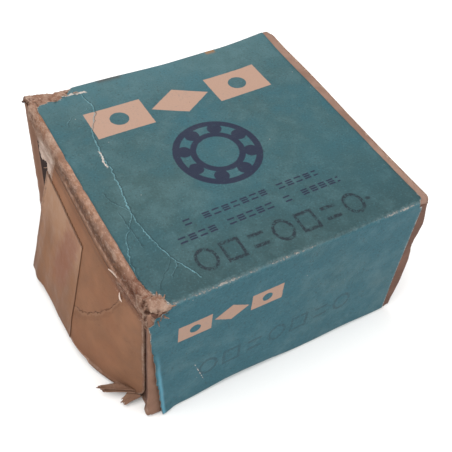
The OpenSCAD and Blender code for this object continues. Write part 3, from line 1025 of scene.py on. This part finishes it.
rightClosure = flatSheet("rightClosureBoard", 96, 70, soundPlace, size["board"] - 0.05, [boardInner, tornCore],
                         wear=lambda x, y, z: max(ease(31.6, 32.6, z), ease(24.6, 25.2, abs(y))) * 0.6)
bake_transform(rightClosure, "sleeve", "right_closure", Vector((foldStart + 0.6, 0, size["paper"])) * mm,
         Vector((size["halfLength"], 0, size["paper"] + 1.0)) * mm)
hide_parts("right_closure_panel")

rightTip = cadBox("right_tuck_tongue")


def tuckPlace(across, along):
    root, tip = rightTip[1].x, rightTip[0].x
    half = rightTip[1].y - 4.0 * ease(0, 1, along) ** 0.8
    y = half * (2 * across - 1)
    x = root + 0.35 + (tip - root - 0.35) * along + soundBow(y) * ease(0.3, 0, along)
    rise = rightTip[1].z - 0.05 - 1.45 * along - 0.12 * ease(0.12, 0, along)
    return x, y, rise


rightTongue = flatSheet("rightTongueBoard", 80, 14, tuckPlace, size["board"] - 0.1, [boardInner, tornCore])
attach(rightTongue, "right_tongue")
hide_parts("right_tuck_tongue")
print("flaps made")


lumps = [
    {"centre": (-26.2, -26.9, 31.75), "reach": (1.35, 1.4, 1.6), "crumple": 0.5},
    {"centre": (-27.2, -25.3, 31.9), "reach": (0.85, 1.7, 1.3), "crumple": 0.45},
    {"centre": (-27.3, -26.9, 29.9), "reach": (0.9, 0.8, 1.5), "crumple": 0.4},
]


def tornLump(index, lump):
    shape = bmesh.new()
    worn, hollow = shape.verts.layers.float.new("wear"), shape.verts.layers.float.new("hollow")
    bmesh.ops.create_icosphere(shape, subdivisions=6, radius=1.0)
    for vert in shape.verts:
        way = vert.co.normalized()
        boxy = way / max(abs(way.x), abs(way.y), abs(way.z)) ** 0.7
        spot = Vector(lump["centre"]) + Vector([a * b for a, b in zip(boxy, lump["reach"])])
        crumple = abs(rough(spot.x * 0.8, spot.y * 0.8, spot.z * 0.8, 1)) * 1.5
        crumple += abs(rough(spot.x * 2.2, spot.y * 2.2, spot.z * 3.2, 2)) * 0.8
        crumple += abs(rough(spot.x * 5, spot.y * 5, spot.z * 5, 3)) * 0.4
        vert.co = spot - way * (crumple - 0.45) * lump["crumple"]
        vert[worn] = 1.0
        # painted shade in the lump's crumpled hollows
        vert[hollow] = min(1.0, max(0.0, crumple * 1.3 - 0.35))
    piece = finished(f"tornCorner{index}", shape, [tornCore])
    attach(piece, "sleeve")


for index, lump in enumerate(lumps):
    tornLump(index, lump)

# Slivers of torn fibre as (root, way out, length, width)
slivers = [
    ((-25.3, -25.8, 33.5), (0.3, 0.8, 0.5), 0.9, 0.35), ((-24.7, -26.6, 33.5), (0.7, 0.5, 0.3), 0.8, 0.3),
    ((-24.4, -28.1, 33.3), (0.9, -0.3, 0.3), 1.1, 0.4), ((-25.4, -28.4, 31.9), (0.5, -0.6, -0.7), 0.9, 0.35),
    ((-26.4, -28.4, 31.0), (0.2, -0.5, -0.9), 1.0, 0.4), ((-27.8, -26.4, 30.6), (-0.7, -0.2, -0.6), 0.9, 0.4),
    ((-27.9, -16.4, 29.2), (-0.45, 0.5, 0.9), 2.1, 0.8), ((-28.1, -18.6, 24.6), (-0.45, 0.05, 0.95), 2.6, 0.8),
    ((-28.4, 12.9, 27.4), (-0.6, 0.2, -0.7), 1.3, 0.5), ((-28.3, 14.6, 27.2), (-0.5, 0.4, -0.8), 1.2, 0.45),
    ((-27.9, 17.4, 28.6), (-0.4, 0.1, -0.9), 1.0, 0.4), ((-20.3, 26.0, 33.4), (0.6, -0.6, 0.35), 1.3, 0.4),
    ((-18.2, 25.9, 33.3), (0.8, -0.5, 0.35), 1.1, 0.35), ((-22.4, 25.0, 33.45), (0.2, -0.9, 0.35), 0.9, 0.4),
]


def sliver(index, root, way, length, width):
    root, way = Vector(root), Vector(way).normalized()
    side = way.cross(Vector((0.3, 0.2, 1))).normalized()
    rise = side.cross(way)

    def place(across, along):
        half = width / 2 * (1 - along ** 1.6) + 0.03
        curl = 0.35 * length * along * along + 0.1 * rough(along * 3, index)
        bent = rise * curl * (1 if index % 2 else -0.4)
        return root + way * length * along + side * half * (2 * across - 1) + bent

    pale = width > 0.6
    piece = flatSheet(f"fibreSliver{index}", 4, 10, place, 0.1, [paleCore if pale else tornCore],
                      wear=lambda x, y, z: 0.1 if pale else 0.75)
    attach(piece, "left_closure" if way.x < -0.3 and root.y > -25 else "sleeve")


for index, (root, way, length, width) in enumerate(slivers):
    sliver(index, root, way, length, width)

# Loose plies at the near foot of the closure, as corners of a sheet: two at the root, two at the tip
plies = [
    [(-28.4, -23.6, 3.2), (-30.6, -20.4, 3.0), (-33.8, -20.1, 2.7), (-34.0, -19.4, 2.9)],
    [(-28.5, -23.7, 2.7), (-30.5, -20.9, 2.5), (-33.3, -20.7, 2.1), (-33.6, -20.0, 2.2)],
    [(-27.7, -24.5, 2.1), (-29.2, -22.3, 2.1), (-30.6, -24.3, 1.2), (-31.3, -23.2, 1.4)],
]


def loosePly(index, corners):
    nearRoot, farRoot, nearTip, farTip = (Vector(corner) for corner in corners)

    def place(across, along):
        ragged = along * (1 + 0.3 * rough(across * 6, index * 3.7) * ease(0.4, 1, along))
        spot = nearRoot.lerp(farRoot, across).lerp(nearTip.lerp(farTip, across), ragged)
        spot.z += 0.12 * rough(across * 3, along * 3, index) + 0.3 * along * rough(across * 4, index)
        return spot

    piece = flatSheet(f"tornPly{index}", 24, 24, place, 0.2, [boardInner, tornCore],
                      wear=lambda x, y, z: 0.25)
    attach(piece, "left_closure")


for index, corners in enumerate(plies):
    loosePly(index, corners)
print("torn parts made")


def dress(names, finish):
    for name in names:
        mesh = nodes[name].data
        mesh.materials.clear()
        mesh.materials.append(finish)


dress([n for n in nodes if n.endswith("washer")], washerSteel)
dress([n for n in nodes if n.endswith("cage")], cageSteel)
dress([n for n in nodes if "_ball_" in n], ballSteel)
dress(["glue_flap"], boardInner)
print("bearing dressed")


view = {
    "eye": (-55.5, -86.4, 127.5),
    "heading": -34.43,
    "dip": 48.49,
    "roll": 6.4,
    "lens": 59.2,
}
lamps = [
    {"name": "keyLight", "place": (-0.22, -0.10, 0.55), "span": 0.5, "power": 3.4, "tone": (1.0, 0.985, 0.96)},
    {"name": "fillLight", "place": (0.40, -0.50, 0.35), "span": 0.6, "power": 2.2, "tone": (0.95, 0.98, 1.0)},
    {"name": "backLight", "place": (0.1, 0.55, 0.45), "span": 0.5, "power": 1.8, "tone": (1.0, 1.0, 1.0)},
]


def makeFloor():
    shape = bmesh.new()
    bmesh.ops.create_grid(shape, x_segments=1, y_segments=1, size=1500)
    f = Finish("paleFloor")
    floor = finished("paleFloor", shape, [f.shade((0.86, 0.86, 0.86, 1.0), 0.9, Specular_IOR_Level=0.1)])
    floor.data.transform(Matrix.Translation((0, 0, -0.00005)))


def makeLamp(lamp):
    light = bpy.data.lights.new(lamp["name"], "AREA")
    light.size = lamp["span"]
    light.energy = lamp["power"]
    light.color = lamp["tone"]
    holder = bpy.data.objects.new(lamp["name"], light)
    holder.location = lamp["place"]
    aim = Vector((0, 0, 0.015)) - Vector(lamp["place"])
    holder.rotation_euler = aim.to_track_quat("-Z", "Y").to_euler()
    bpy.context.scene.collection.objects.link(holder)


def makeCamera():
    heading, dip, roll = (math.radians(view[key]) for key in ("heading", "dip", "roll"))
    ahead = Vector((-math.sin(heading) * math.cos(dip), math.cos(heading) * math.cos(dip), -math.sin(dip)))
    levelRight = ahead.cross(Vector((0, 0, 1))).normalized()
    levelUp = levelRight.cross(ahead)
    right = levelRight * math.cos(roll) + levelUp * math.sin(roll)
    up = levelUp * math.cos(roll) - levelRight * math.sin(roll)
    lens = bpy.data.cameras.new("camera")
    lens.lens = view["lens"]
    lens.clip_start = 0.005
    holder = bpy.data.objects.new("camera", lens)
    turn = Matrix((right, up, -ahead)).transposed().to_4x4()
    holder.matrix_world = Matrix.Translation(Vector(view["eye"]) * mm) @ turn
    bpy.context.scene.collection.objects.link(holder)
    bpy.context.scene.camera = holder


makeFloor()
for lamp in lamps:
    makeLamp(lamp)
makeCamera()
world = bpy.data.worlds.new("studio")
world.use_nodes = True
world.node_tree.nodes["Background"].inputs["Color"].default_value = (1, 1, 1, 1)
world.node_tree.nodes["Background"].inputs["Strength"].default_value = 0.55
bpy.context.scene.world = world
bpy.context.scene.view_settings.view_transform = "Standard"
print("stage made")
